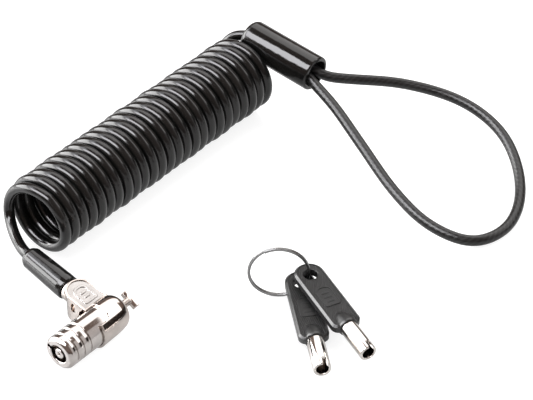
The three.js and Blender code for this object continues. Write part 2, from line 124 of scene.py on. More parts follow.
BOW_TOP = 6.1
BOW_WIDTH = 10.8
BOW_THICKNESS = 3.6
BOW_BOTTOM = BOW_TOP - 34.2
KEY_END = BOW_TOP - 48.0
KEY_TUBE_R = 3.15
EMBLEM_LOW, EMBLEM_HIGH = -17.4, -7.6
BOSS_R = 3.6
BOSS_DOME = 6.4
RING_R = 10.5
RING_TURNS = 1.93
RING_WIRE = 0.58

# ---- places


def quarter(axis, turns=1):
    """A quarter turn, or several."""
    return Matrix.Rotation(turns * math.pi / 2, 4, axis)


def placed(origin, x, y, z):
    """A frame with the given origin and axes."""
    return Matrix.Translation(origin) @ Matrix((x, y, z)).transposed().to_4x4()


def along(origin, direction):
    """A frame whose X runs along direction and whose Z is as upright as it can be."""
    x = direction.normalized()
    y = Vector((0, 0, 1)).cross(x).normalized()
    return placed(origin, x, y, x.cross(y))


def tilted(origin, degrees):
    """A frame whose X runs along -Y, tilted down by the given angle."""
    return Matrix.Translation(origin) @ Matrix.Rotation(math.radians(degrees), 4, "X") @ quarter("Z", -1)


LUG_PLACE = along(LUG_PIVOT, LUG_AXIS)
CROSS_PIN_PLACE = LUG_PLACE @ Matrix.Translation((CROSS_PIN_X, 0, 0)) @ quarter("Z")
CROSS_PIN_PLACE = CROSS_PIN_PLACE @ quarter("X") @ Matrix.Translation((0, -2.6, 0))
BADGE_PLACE = Matrix.Translation((LUG_CENTRE_X, 0, 0)) @ Matrix.Rotation(BADGE_TILT, 4, "X")
CLAMP_PLACE = tilted((125.5, 52.6, 18.8), 5)
LOOP_PLACE = tilted((125.5, 52.4, 20.6), 11.5)


def key_place(letter):
    """The key's frame from its joint and its tube: origin at the ring hole, tube towards -Y."""
    joint = JOINTS[f"key_{letter}_swing"]
    hole = Vector(joint["pos_m"]) / MM
    low, high = node_box(f"key_{letter}_tube")
    z = Vector(joint["axis"])
    away = (low + high) / 2 - hole
    y = -(away - z * away.dot(z)).normalized()
    return placed(hole, y.cross(z), y, z)


# ---- mesh helpers


def new_piece(name, verts, faces, uvs=None, sharp=35):
    """A mesh object from millimetre points, smooth shaded, with edges above the sharp angle kept sharp."""
    mesh = bpy.data.meshes.new(name)
    mesh.from_pydata([Vector(v) * MM for v in verts], [], faces)
    if uvs is not None:
        layer = mesh.uv_layers.new(name="UVMap")
        layer.data.foreach_set("uv", np.array(uvs, np.float32).ravel())
    return add_object(name, tidy(mesh, sharp))


def tidy(mesh, sharp=35):
    """Outward faces, smooth shading, and sharp edges where faces meet at more than the given angle."""
    bm = bmesh.new()
    bm.from_mesh(mesh)
    bmesh.ops.recalc_face_normals(bm, faces=bm.faces)
    bm.to_mesh(mesh)
    bm.free()
    mesh.shade_smooth()
    mesh.set_sharp_from_angle(angle=math.radians(sharp))
    mesh.update()
    return mesh


def add_object(name, data):
    piece = bpy.data.objects.new(name, data)
    bpy.context.scene.collection.objects.link(piece)
    return piece


def arc(x, y, radius, start, end, count):
    """Points on an arc about (x, y), from one angle to another."""
    return [(x + radius * math.cos(a), y + radius * math.sin(a)) for a in np.linspace(start, end, count)]


def fillet(points, closed=False, steps=5):
    """Replaces each corner (x, y, radius) of a polyline by an arc."""
    result = []
    count = len(points)
    for i, (x, y, radius) in enumerate(points):
        if radius <= 0 or (not closed and i in (0, count - 1)):
            result.append((x, y))
            continue
        here = Vector((x, y))
        before = Vector(points[i - 1][:2]) - here
        after = Vector(points[(i + 1) % count][:2]) - here
        half = before.angle(after) / 2
        reach = radius / math.tan(half)
        reach = min(reach, before.length * 0.499, after.length * 0.499)
        radius = reach * math.tan(half)
        a = here + before.normalized() * reach
        b = here + after.normalized() * reach
        middle = (before.normalized() + after.normalized()).normalized()
        centre = here + middle * (radius / math.sin(half))
        start = math.atan2(a.y - centre.y, a.x - centre.x)
        sweep = math.atan2(b.y - centre.y, b.x - centre.x) - start
        sweep = (sweep + math.pi) % TAU - math.pi
        for k in range(steps + 1):
            angle = start + sweep * k / steps
            result.append((centre.x + radius * math.cos(angle), centre.y + radius * math.sin(angle)))
    return result


def rounded(half, low, high, corner, high_corner=None, steps=5):
    """A rectangle of the given half width from y = low to high, with rounded corners."""
    top = corner if high_corner is None else high_corner
    points = [(-half, low, corner), (half, low, corner), (half, high, top), (-half, high, top)]
    return fillet(points, closed=True, steps=steps)


def lathe(name, profile, place=HERE, segments=96, closed=False):
    """A solid of revolution about the frame's X. The profile is (x, r), both ends on the axis or closed."""
    verts, rings, length = [], [], [0.0]
    for i, (x, r) in enumerate(profile):
        if i:
            length.append(length[-1] + math.dist(profile[i - 1], (x, r)))
        if r < 1e-6:
            rings.append([len(verts)] * segments)
            verts.append(place @ Vector((x, 0, 0)))
        else:
            rings.append(list(range(len(verts), len(verts) + segments)))
            angles = [TAU * k / segments for k in range(segments)]
            verts += [place @ Vector((x, r * math.cos(a), r * math.sin(a))) for a in angles]
    faces, uvs = [], []
    pairs = [(i - 1, i) for i in range(1, len(rings))]
    if closed:
        pairs.append((len(rings) - 1, 0))
    for i, j in pairs:
        for k in range(segments):
            face = {}
            for ring, turn in ((i, k), (i, k + 1), (j, k + 1), (j, k)):
                face.setdefault(rings[ring][turn % segments], (turn / segments, length[ring]))
            if len(face) > 2:
                faces.append(list(face))
                uvs += face.values()
    return new_piece(name, verts, faces, uvs)


def drill(start, end, radius, place=HERE, segments=32):
    """A round cutter along the frame's X."""
    return lathe("cut", [(start, 0), (start, radius), (end, radius), (end, 0)], place, segments)


def inset(outline, amount):
    """An anticlockwise outline moved inwards."""
    result = []
    for i, (x, y) in enumerate(outline):
        before = Vector((x - outline[i - 1][0], y - outline[i - 1][1])).normalized()
        after_point = outline[(i + 1) % len(outline)]
        after = Vector((after_point[0] - x, after_point[1] - y)).normalized()
        normal = Vector((-before.y - after.y, before.x + after.x)).normalized()
        scale = amount / max(0.5, normal.dot(Vector((-before.y, before.x))))
        result.append((x + normal.x * scale, y + normal.y * scale))
    return result


def prism(name, outline, low, high, place=HERE, edge=0.0, steps=4, edge_low=None):
    """An extruded outline with rounded rims: edge at the top, edge_low at the bottom."""
    edge_low = edge if edge_low is None else edge_low
    layers = []
    for k in range(steps + 1 if edge_low > 0 else 1):
        angle = math.pi / 2 * k / steps if edge_low > 0 else math.pi / 2
        layers.append((edge_low * (1 - math.sin(angle)), low + edge_low * (1 - math.cos(angle))))
    for k in range(steps + 1 if edge > 0 else 1):
        angle = math.pi / 2 * k / steps if edge > 0 else 0
        layers.append((edge * (1 - math.cos(angle)), high - edge * (1 - math.sin(angle))))
    verts, count = [], len(outline)
    for amount, z in layers:
        ring = inset(outline, amount) if amount > 1e-6 else outline
        verts += [place @ Vector((x, y, z)) for x, y in ring]
    faces = [list(range(count))[::-1], list(range(len(verts) - count, len(verts)))]
    faces += ring_faces(len(layers), count)
    return new_piece(name, verts, faces)


def ring_faces(rings, count):
    """The faces between rings of count points each."""
    faces = []
    for start in range(0, (rings - 1) * count, count):
        for k in range(count):
            m = (k + 1) % count
            faces.append([start + k, start + m, start + count + m, start + count + k])
    return faces


def block(size, centre, place=HERE):
    """A plain block, to cut with or to join on."""
    (sx, sy, sz), (cx, cy, cz) = size, centre
    outline = [(cx - sx / 2, cy - sy / 2), (cx + sx / 2, cy - sy / 2)]
    outline += [(cx + sx / 2, cy + sy / 2), (cx - sx / 2, cy + sy / 2)]
    return prism("block", outline, cz - sz / 2, cz + sz / 2, place)


def combine(piece, tools, operation):
    """Joins or cuts a piece with other objects, which are used up."""
    for tool in tools:
        modifier = piece.modifiers.new("bool", "BOOLEAN")
        modifier.operation = operation
        modifier.solver = "EXACT"
        modifier.object = tool
        graph = bpy.context.evaluated_depsgraph_get()
        mesh = bpy.data.meshes.new_from_object(piece.evaluated_get(graph))
        piece.modifiers.clear()
        old = piece.data
        piece.data = mesh
        bpy.data.meshes.remove(old)
        bpy.data.objects.remove(tool)
    weld = 0.002 * MM
    bm = bmesh.new()
    bm.from_mesh(piece.data)
    bmesh.ops.remove_doubles(bm, verts=bm.verts, dist=weld)
    bmesh.ops.dissolve_degenerate(bm, edges=bm.edges, dist=weld)
    bm.to_mesh(piece.data)
    bm.free()
    tidy(piece.data)
    return piece


def join(name, pieces):
    """One object from several, each keeping its own closed shell."""
    bm = bmesh.new()
    for piece in pieces:
        bm.from_mesh(piece.data)
    mesh = bpy.data.meshes.new(name)
    bm.to_mesh(mesh)
    bm.free()
    for piece in pieces:
        bpy.data.objects.remove(piece)
    return add_object(name, tidy(mesh))


def catmull(points, per_segment):
    """A centripetal Catmull-Rom curve through points, sampled."""
    p = [np.array(q, float) for q in points]
    p = [2 * p[0] - p[1]] + p + [2 * p[-1] - p[-2]]
    result = []
    for i in range(1, len(p) - 2):
        knots = [0.0]
        for k in range(3):
            knots.append(knots[-1] + max(np.linalg.norm(p[i + k] - p[i + k - 1]), 1e-6) ** 0.5)
        a, b, c, d = p[i - 1:i + 3]
        t0, t1, t2, t3 = knots
        for k in range(per_segment):
            t = t1 + (t2 - t1) * k / per_segment
            ab = ((t1 - t) * a + (t - t0) * b) / (t1 - t0)
            bc = ((t2 - t) * b + (t - t1) * c) / (t2 - t1)
            cd = ((t3 - t) * c + (t - t2) * d) / (t3 - t2)
            abc = ((t2 - t) * ab + (t - t0) * bc) / (t2 - t0)
            bcd = ((t3 - t) * bc + (t - t1) * cd) / (t3 - t1)
            result.append(((t2 - t) * abc + (t - t1) * bcd) / (t2 - t1))
    result.append(p[-2])
    return np.array(result)


def lengths(path):
    """The distance along a path at each of its points."""
    return np.concatenate([[0], np.cumsum(np.linalg.norm(np.diff(path, axis=0), axis=1))])


def resample(path, spacing):
    """The same path with evenly spaced points, and the distance along it at each."""
    distance = lengths(path)
    count = max(2, int(round(distance[-1] / spacing)))
    even = np.linspace(0, distance[-1], count + 1)
    return np.stack([np.interp(even, distance, path[:, k]) for k in range(3)], 1), even


def smooth_path(path, rounds):
    """Rounds of averaging each inner point with its neighbours, in place."""
    for _ in range(rounds):
        path[1:-1] = 0.5 * path[1:-1] + 0.25 * (path[:-2] + path[2:])
    return path


def skin(name, rings, distance, sharp):
    """A closed skin over rings of points, with a UV of millimetres along and turns around."""
    count = len(rings[0])
    verts = [point for ring in rings for point in ring]
    faces, uvs = ring_faces(len(rings), count), []
    for u0, u1 in zip(distance, distance[1:]):
        for k in range(count):
            v0, v1 = k / count, (k + 1) / count
            uvs += [(u0, v0), (u0, v1), (u1, v1), (u1, v0)]
    for cap in (range(count), range(len(verts) - count, len(verts))):
        faces.append(list(cap))
        uvs += [(0, 0)] * count
    return new_piece(name, verts, faces, uvs, sharp)


def sweep(name, path, distance, radius, sides, swell=None):
    """A round wire along a path. Swell widens it along the world's X, point by point."""
    tangent = np.gradient(path, axis=0)
    tangent /= np.linalg.norm(tangent, axis=1)[:, None]
    normal = np.cross(tangent[0], [0, 0, 1.0])
    normal /= np.linalg.norm(normal)
    angles = [TAU * k / sides for k in range(sides)]
    section = [(radius * math.cos(a), radius * math.sin(a)) for a in angles]
    rings = []
    for i, point in enumerate(path):
        normal = normal - tangent[i] * (normal @ tangent[i])
        normal /= np.linalg.norm(normal)
        side = np.cross(tangent[i], normal)
        stretch = np.array([1.0 if swell is None else swell[i], 1.0, 1.0])
        rings.append([point + (normal * a + side * b) * stretch for a, b in section])
    return skin(name, rings, distance, 50)


# ---- material helpers


class Nodes:
    """A material's or the world's node tree with short ways to add to it."""

    def __init__(self, name, world=False):
        self.owner = (bpy.data.worlds if world else bpy.data.materials).new(name)
        self.owner.use_nodes = True
        self.tree = self.owner.node_tree
        self.shader = self.tree.nodes["Background" if world else "Principled BSDF"]

    def add(self, kind, **values):
        """A new node. Capitalised names feed inputs, with _ for a space, and the others set properties."""
        node = self.tree.nodes.new("ShaderNode" + kind)
        for key, value in values.items():
            if key[0].isupper():
                self.feed(node, key.replace("_", " "), value)
            else:
                setattr(node, key, value)
        return node

    def feed(self, node, socket, value):
        if isinstance(value, bpy.types.NodeSocket):
            self.tree.links.new(value, node.inputs[socket])
        else:
            node.inputs[socket].default_value = value

    def set(self, **values):
        for key, value in values.items():
            self.feed(self.shader, key.replace("_", " "), value)

    def math(self, operation, *terms):
        node = self.add("Math", operation=operation)
        for socket, term in enumerate(terms):
            self.feed(node, socket, term)
        return node.outputs[0]

    def scaled(self, vector, factor):
        return self.add("VectorMath", operation="SCALE", Vector=vector, Scale=factor).outputs[0]

    def stretched(self, vector, scale):
        return self.add("Mapping", Vector=vector, Scale=scale).outputs[0]

    def coordinates(self, kind="Object"):
        return self.add("TexCoord").outputs[kind]

    def noise(self, vector, scale, detail=3.0, roughness=0.5):
        node = self.add("TexNoise", Vector=vector, Scale=scale, Detail=detail, Roughness=roughness)
        return node.outputs["Fac"]

    def ramp(self, value, stops):
        node = self.add("ValToRGB", Fac=value)
        elements = node.color_ramp.elements
        while len(elements) < len(stops):
            elements.new(0.5)
        for element, (position, colour) in zip(elements, stops):
            element.position = position
            element.color = (*colour, 1.0)
        return node.outputs["Color"]

    def window(self, value, low, high, soft):
        """1 between low and high, with soft ends, and 0 outside."""
        sides = []
        for edge, inwards in ((low, soft), (high, -soft)):
            node = self.add("MapRange", interpolation_type="SMOOTHSTEP", Value=value)
            self.feed(node, "From Min", edge - inwards)
            self.feed(node, "From Max", edge + inwards)
            sides.append(node.outputs["Result"])
        return self.math("MULTIPLY", *sides)

    def spread(self, value, low, high):
        """A 0 to 1 value mapped to low to high."""
        return self.add("MapRange", Value=value, To_Min=low, To_Max=high).outputs["Result"]

    def bump(self, height, distance, strength, normal=None):
        node = self.add("Bump", Height=height, Distance=distance * MM, Strength=strength)
        if normal is not None:
            self.feed(node, "Normal", normal)
        return node.outputs["Normal"]

    def soft_edge(self, radius):
        return self.add("Bevel", samples=6, Radius=radius * MM).outputs["Normal"]


def grey(value):
    return (value, value, value)


def plated_metal(name, dark, light, roughness, edge=0.16, streak=0.0):
    """Bright plating: soft edges, a faint cast skin under it, and slight changes of gloss."""
    m = Nodes(name)
    where = m.coordinates()
    skin = m.noise(where, 420.0, 3.0)
    fine = m.noise(where, 2600.0, 2.0)
    normal = m.bump(skin, 0.05, 0.10, m.soft_edge(edge))
    normal = m.bump(fine, 0.010, 0.12, normal)
    lines = m.noise(m.stretched(where, (60.0, 2400.0, 2400.0)), 1.0, 2.0)
    normal = m.bump(lines, 0.02, streak, normal)
    tint = m.ramp(m.noise(where, 160.0), [(0.3, dark), (0.7, light)])
    gloss = m.spread(m.noise(where, 900.0, 4.0), roughness * 0.65, roughness * 1.5)
    m.set(Base_Color=tint, Metallic=1.0, Roughness=gloss, Normal=normal)
    return m.owner


def machined_metal(name, dark, light, roughness, drawn=False):
    """Turned metal with fine tool lines, or drawn wire with lines along it."""
    m = Nodes(name)
    scale = (0.06, 14.0, 1.0) if drawn else (5200.0, 300.0, 300.0)
    lines = m.noise(m.stretched(m.coordinates("UV" if drawn else "Object"), scale), 1.0, 3.0)
    normal = m.bump(lines, 0.02, 0.5, m.soft_edge(0.06))
    tint = m.ramp(lines, [(0.3, dark), (0.7, light)])
    gloss = m.spread(lines, roughness * 0.8, roughness * 1.3)
    m.set(Base_Color=tint, Metallic=1.0, Roughness=gloss, Normal=normal)
    return m.owner


def coil_jacket():
    """Glossy black jacket with a slightly uneven skin, drawn lengthwise."""
    m = Nodes("coil_jacket")
    drawn = m.noise(m.stretched(m.coordinates("UV"), (0.09, 9.0, 1.0)), 1.0, 3.0)
    where = m.coordinates()
    skin = m.noise(where, 500.0, 3.0)
    pimples = m.noise(where, 3600.0, 2.0)
    normal = m.bump(drawn, 0.10, 0.35)
    normal = m.bump(skin, 0.05, 0.25, normal)
    normal = m.bump(pimples, 0.01, 0.25, normal)
    tint = m.ramp(m.noise(where, 120.0), [(0.3, grey(0.004)), (0.7, (0.009, 0.0085, 0.008))])
    gloss = m.spread(m.noise(where, 1100.0, 4.0), 0.12, 0.22)
    m.set(Base_Color=tint, Roughness=gloss, Normal=normal, Specular_IOR_Level=0.45)
    return m.owner


def loop_jacket():
    """Steel rope seen through a thin dark jacket: a helical lay under a glossy skin."""
    m = Nodes("loop_jacket")
    along_mm, around, _ = m.add("SeparateXYZ", Vector=m.coordinates("UV")).outputs
    strands, lay_mm = 6, 2.3
    phase = m.math("MULTIPLY", along_mm, TAU / lay_mm)
    phase = m.math("ADD", m.math("MULTIPLY", around, TAU * strands), phase)
    lay = m.math("MULTIPLY_ADD", m.math("SINE", phase), 0.5, 0.5)
    where = m.coordinates()
    patch = m.noise(where, 240.0, 3.0)
    strength = m.math("MULTIPLY", lay, m.spread(patch, 0.3, 1.0))
    blacks = [(0.0, grey(0.004)), (0.55, grey(0.010)), (1.0, (0.034, 0.033, 0.032))]
    tint = m.ramp(strength, blacks)
    normal = m.bump(lay, 0.08, 0.3)
    normal = m.bump(m.noise(where, 2400.0, 2.0), 0.02, 0.2, normal)
    m.set(Base_Color=tint, Roughness=m.spread(patch, 0.26, 0.42), Normal=normal, Specular_IOR_Level=0.45)
    return m.owner


def moulded_black(name, roughness, waves):
    """Glossy moulded plastic with a faint orange peel and soft waves."""
    m = Nodes(name)
    where = m.coordinates()
    peel = m.noise(where, 620.0, 2.0)
    flow = m.noise(where, 150.0, 2.0)
    normal = m.bump(flow, 0.25, waves, m.soft_edge(0.12))
    normal = m.bump(peel, 0.03, 0.25, normal)
    tint = m.ramp(flow, [(0.3, grey(0.004)), (0.7, (0.008, 0.0075, 0.007))])
    gloss = m.spread(m.noise(where, 1500.0, 4.0), roughness * 0.7, roughness * 1.4)
    m.set(Base_Color=tint, Roughness=gloss, Normal=normal, Specular_IOR_Level=0.45)
    return m.owner


def key_plastic(name, roughness, gloss):
    """Charcoal plastic with a fine spark-eroded grain."""
    m = Nodes(name)
    where = m.coordinates()
    grain = m.noise(where, 2600.0, 5.0, 0.7)
    cloud = m.noise(where, 200.0, 2.0)
    normal = m.bump(grain, 0.035, 0.5, m.soft_edge(0.08))
    tint = m.ramp(cloud, [(0.3, grey(0.010)), (0.7, grey(0.016))])
    m.set(Base_Color=tint, Roughness=m.spread(grain, roughness * 0.8, roughness * 1.3), Normal=normal)
    m.set(Specular_IOR_Level=gloss)
    return m.owner


NICKEL = plated_metal("nickel_plate", (0.46, 0.41, 0.38), (0.56, 0.51, 0.475), 0.09)
BARREL_METAL = plated_metal("barrel_plate", (0.44, 0.41, 0.39), (0.54, 0.51, 0.49), 0.10, streak=0.08)
BADGE_METAL = plated_metal("badge_satin", (0.33, 0.315, 0.305), (0.41, 0.395, 0.385), 0.24)
TUBE_CHROME = plated_metal("key_chrome", (0.60, 0.57, 0.54), (0.72, 0.69, 0.66), 0.08, 0.10, 0.05)
WIRE_STEEL = machined_metal("ring_steel", grey(0.14), grey(0.34), 0.26, drawn=True)
PIN_STEEL = machined_metal("pin_steel", grey(0.48), grey(0.62), 0.30)
PIN_BRASS = machined_metal("pin_brass", (0.55, 0.38, 0.14), (0.72, 0.54, 0.24), 0.28)
SPRING_STEEL = machined_metal("spring_steel", (0.36, 0.36, 0.37), grey(0.50), 0.35)
COIL_JACKET = coil_jacket()
LOOP_JACKET = loop_jacket()
BOOT_BLACK = moulded_black("boot_black", 0.10, 0.25)
CLAMP_BLACK = moulded_black("clamp_black", 0.11, 0.6)
KEY_BLACK = key_plastic("key_panel_plastic", 0.42, 0.30)
KEY_EDGE = key_plastic("key_edge_plastic", 0.28, 0.60)


def paint(piece, material):
    piece.data.materials.clear()
    piece.data.materials.append(material)


def dress(piece, material, body, slot, *replaced):
    """Gives a rigid piece its material and body, and hides the CAD nodes it stands for. The slot is not used.
    """
    paint(piece, material)
    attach(piece, body)
    if replaced:
        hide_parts(*replaced)


def dress_blend(piece, material, bodies, start, end, slot, replaced):
    """Gives a soft piece its material, bakes its placement into its mesh and hides the CAD node it stands for.
    Bodies, start, end and slot are not used.
    """
    paint(piece, material)
    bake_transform(piece)
    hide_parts(replaced)


# ---- lock housing


def d_outline(half, start, centre):
    """Straight edge at y = start, round end of the given half width."""
    return [(-half, start), (half, start)] + arc(0, centre, half, 0, math.pi, 41)


BADGE_OUTLINE = d_outline(5.6, 4.4, 11.7)


def sleeve_pin_hole():
    """Cutter for the hole of the pin through housing, barrel and pin shell, from below."""
    return drill(3.9, 9, SLEEVE_PIN_BORE, Matrix.Translation((SLEEVE_PIN_X, 0, 0)) @ quarter("Y"))


def nose_profile():
    """The housing's nose: a blunt dome with a slight taper to its flat end."""
    flat, shoulder, taper, bluntness = 4.4, 2.9, 0.5, 8
    points = []
    for a in np.linspace(0, math.pi / 2, 40)[4:]:
        t = math.sin(a) ** 0.5
        radius = flat + shoulder * math.sqrt(max(0, 1 - t ** bluntness)) - taper * t
        points.append((HOUSING_FRONT_X + (NOSE_X - HOUSING_FRONT_X) * t, radius))
    return points


def make_shell():
    """The housing's round body, with the notch on its top."""
    rim = HOUSING_FRONT_X
    front = fillet([(rim, HOUSING_BORE, 0), (rim, HOUSING_R, 0.3), (rim + 1, HOUSING_R - 0.04, 0)])
    step = SLEEVE_END_X + 0.3
    inner = fillet([
        (NOSE_X, SPINDLE_BORE, 0), (CLIP_ROOM_X, SPINDLE_BORE, 0), (CLIP_ROOM_X, CLIP_ROOM_R, 0),
        (step, CLIP_ROOM_R, 0), (step, HOUSING_BORE, 0),
    ])
    shell = lathe("lock_housing_shell", front + nose_profile() + inner, segments=128, closed=True)
    far, end, side, high = -30, -16.2, -5.2, 5.0
    notch = [(far, side, 0), (end, side, 2.4), (end, high, 1.0), (far, high, 0)]
    return combine(shell, [prism("notch", fillet(notch, True, 12), 0, 12)], "DIFFERENCE")


def make_lug():
    """The lug, cut off under the tilted badge plate."""
    place = Matrix.Translation((LUG_CENTRE_X, 0, 0))
    lug = prism("lug", d_outline(LUG_R, 4.0, LUG_Y), -4.2, 8.5, place, edge_low=1.3, steps=6)
    above = block((40, 50, 20), (0, 10, PLATE_LOW + 0.5 + 10), BADGE_PLACE)
    return combine(lug, [above], "DIFFERENCE")


def lug_window():
    """Cutter for the long window in the lug's side."""
    half = arc(0, 1.15, 0.85, 0, math.pi, 13)
    place = Matrix.Translation((LUG_CENTRE_X - LUG_R - 0.8, 9.9, 2.9)) @ quarter("Z") @ quarter("X")
    return prism("cut", half + [(-x, -y) for x, y in half], -0.2, 3.0, place)


def make_housing():
    shell = make_shell()
    plate = prism("plate", BADGE_OUTLINE, PLATE_LOW, BADGE_TOP, BADGE_PLACE, edge=0.35, edge_low=0.25)
    combine(shell, [make_lug(), plate], "UNION")
    cuts = [
        drill(-45, SLEEVE_END_X + 0.3, HOUSING_BORE, segments=128),
        drill(SLEEVE_END_X, CLIP_ROOM_X, CLIP_ROOM_R, segments=64),
        drill(8.6, 30, 2.75, LUG_PLACE, 64),
        prism("cut", inset(BADGE_OUTLINE, 0.75), BADGE_TOP - 0.32, BADGE_TOP + 1, BADGE_PLACE),
        lug_window(),
        sleeve_pin_hole(),
        drill(-6, 4.4, 0.66, CROSS_PIN_PLACE),
    ]
    dress(combine(shell, cuts, "DIFFERENCE"), NICKEL, "lock_body", "nickel", "lock_housing")


def make_badge():
    """Satin floor of the badge with a plain raised pattern: an open frame and two bars."""
    low, high = BADGE_TOP - 0.4, BADGE_TOP - 0.04
    outlines = [rounded(3.1, 6.3, 14.0, 0.9, 2.4, 8)] + [rounded(1.3, y, y + 1.0, 0.3) for y in (8.5, 10.4)]
    relief = [prism("raised", outline, low, high, BADGE_PLACE, 0.12, edge_low=0) for outline in outlines]
    hole = prism("hole", rounded(2.2, 7.2, 13.1, 0.4, 1.6, 8), low - 1, high + 1, BADGE_PLACE)
    combine(relief[0], [hole], "DIFFERENCE")
    floor = inset(BADGE_OUTLINE, 0.80)
    base = prism("floor", floor, BADGE_TOP - 0.7, BADGE_TOP - 0.30, BADGE_PLACE, 0.05)
    dress(join("badge_panel_relief", [base] + relief), BADGE_METAL, "lock_body", "nickel")


def make_barrel():
    """The grooved barrel around the keyway, with the key's guide notch in its face."""
    profile = [(FACE_X + 0.25, KEYWAY_R, 0), (FACE_X, KEYWAY_R + 0.3, 0.1), (FACE_X, BARREL_R - 1.0, 0.8)]
    profile += [(FACE_X + 1.2, BARREL_R, 1.0)]
    first, pitch, wide, narrow, floor = 3.4, 3.3, 0.45, 0.32, BARREL_R - 0.5
    for i in range(3):
        x = FACE_X + first + i * pitch
        profile += [(x - wide, BARREL_R, 0.12), (x - narrow, floor, 0.15)]
        profile += [(x + narrow, floor, 0.15), (x + wide, BARREL_R, 0.12)]
    bore, step = 5.0, -31.7
    profile += [(SLEEVE_END_X, BARREL_R, 0.1), (SLEEVE_END_X, bore, 0), (step, bore, 0), (step, KEYWAY_R, 0)]
    sleeve = lathe("barrel_sleeve_turned", fillet(profile, closed=True, steps=4), segments=144, closed=True)
    turn = Matrix.Rotation(math.radians(20), 4, "X")
    notch = block((2.4, 2.6, 1.5), (FACE_X + 1.0, KEYWAY_R + 0.4, 0), turn)
    combine(sleeve, [notch, sleeve_pin_hole()], "DIFFERENCE")
    dress(sleeve, BARREL_METAL, "lock_body", "nickel", "barrel_sleeve")


PIN_PLACES = arc(0, 0, PIN_CIRCLE, math.pi / 2, math.pi / 2 + TAU, 6)[:5]


def pin_holes(start, end):
    return [drill(start, end, PIN_BORE, Matrix.Translation((0, y, z))) for y, z in PIN_PLACES]


def make_plug_and_shell():
    """The turning plug with its post, and the shell behind it, both drilled for the pins."""
    front, back, flange = -31.5, -26.5, 4.8
    face = FACE_X + 0.3
    plug = lathe("key_plug_turned", fillet([
        (face, 0, 0), (face, POST_R, 0.35), (front, POST_R, 0.1), (front, flange, 0.1),
        (back, flange, 0.1), (back, 0, 0),
    ]), segments=72)
    dimple = [(FACE_X, 0), (FACE_X, 0.75), (FACE_X + 0.6, 0.55), (FACE_X + 1.7, 0.55), (FACE_X + 1.7, 0)]
    cuts = [
        lathe("cut", dimple, segments=32),
        block((2.4, 0.9, 0.9), (FACE_X + 1.4, POST_R, 0)),
        block((3.2, 2.2, 2.2), (-27.9, 0, 0), BAR_ROLL),
    ]
    combine(plug, cuts + pin_holes(-32.5, -25.5), "DIFFERENCE")
    dress(plug, BARREL_METAL, "spindle", "nickel", "key_plug")
    front, back, outside = -26.2, -16.0, 4.85
    shell = lathe("pin_shell_turned", fillet([
        (front, SPINDLE_BORE, 0.1), (front, outside, 0.2), (back, outside, 0.2), (back, SPINDLE_BORE, 0.1),
    ], closed=True), segments=72, closed=True)
    combine(shell, pin_holes(-27.2, -17.0) + [sleeve_pin_hole()], "DIFFERENCE")
    dress(shell, PIN_BRASS, "lock_body", "brass", "pin_shell")


def spring_path(y, z):
    """A compression spring's wire, with its end turns closed up."""
    start, end = SPRING_X
    t = np.linspace(0, 1, int(SPRING_TURNS * 24) + 1)
    rise = np.clip((t * SPRING_TURNS - 0.8) / (SPRING_TURNS - 1.6), 0, 1)
    x = start + 0.2 + (end - start - 0.4) * (0.06 * t + 0.94 * rise)
    angle = TAU * SPRING_TURNS * t
    return resample(np.stack([x, y + SPRING_R * np.cos(angle), z + SPRING_R * np.sin(angle)], 1), 0.12)


def make_pins():
    """Five key pins, five waisted driver pins and their springs."""
    front, back = KEY_PIN_X
    key_pin = fillet([(front, 0, 0), (front, PIN_R, 0.28), (back, PIN_R, 0.08), (back, 0, 0)])
    front, back = DRIVER_X
    waist = 0.48
    driver = fillet([
        (front, 0, 0), (front, PIN_R, 0.08), (-24.9, PIN_R, 0.05), (-24.7, waist, 0.05), (-23.9, waist, 0.05),
        (-23.7, PIN_R, 0.05), (back, PIN_R, 0.1), (back, 0, 0),
    ])
    for i, (y, z) in enumerate(PIN_PLACES):
        place = Matrix.Translation((0, y, z))
        name = f"key_pin_{i + 1}"
        dress(lathe(name + "_turned", key_pin, place, 32), PIN_BRASS, name, "brass", name)
        name = f"driver_pin_{i + 1}"
        dress(lathe(name + "_turned", driver, place, 32), PIN_STEEL, name, "steel", name)
        spring = sweep(f"pin_spring_{i + 1}_wire", *spring_path(y, z), 0.12, 8)
        ends = [Vector((x, y, z)) for x in SPRING_X]
        dress_blend(spring, SPRING_STEEL, (name, "lock_body"), *ends, "steel", f"pin_spring_{i + 1}")


def make_spindle():
    """The T-bar with its neck, rolled about the lock's axis, and the clip that holds it."""
    upright = BAR_ROLL @ quarter("Y") @ quarter("Z")
    bar = prism("t_bar_solid", rounded(3.45, -0.95, 0.95, 0.3), -2.6, 0, upright, edge=0.18, edge_low=0.12)
    front, back, groove = -26.1, -2.3, 1.1
    neck = fillet([
        (front, 0, 0), (front, SPINDLE_R, 0.2), (-12.35, SPINDLE_R, 0), (-12.35, groove, 0),
        (-11.45, groove, 0), (-11.45, SPINDLE_R, 0), (back, SPINDLE_R, 0), (back, 0, 0),
    ])
    square = block((3.0, 1.7, 1.7), (-27.4, 0, 0), BAR_ROLL)
    combine(bar, [lathe("neck", neck, BAR_ROLL, 64), square], "UNION")
    dress(bar, NICKEL, "spindle", "nickel", "t_bar")
    clip = fillet([(-12.1, 1.3, 0.05), (-12.1, 2.9, 0.1), (-11.6, 2.9, 0.1), (-11.6, 1.3, 0.05)], closed=True)
    clip = lathe("spindle_clip_ring", clip, BAR_ROLL, 64, closed=True)
    combine(clip, [block((3, 1.5, 4), (-11.9, 0, 2.6), BAR_ROLL)], "DIFFERENCE")
    dress(clip, SPRING_STEEL, "spindle", "steel", "spindle_clip")


# ---- cable end at the lug


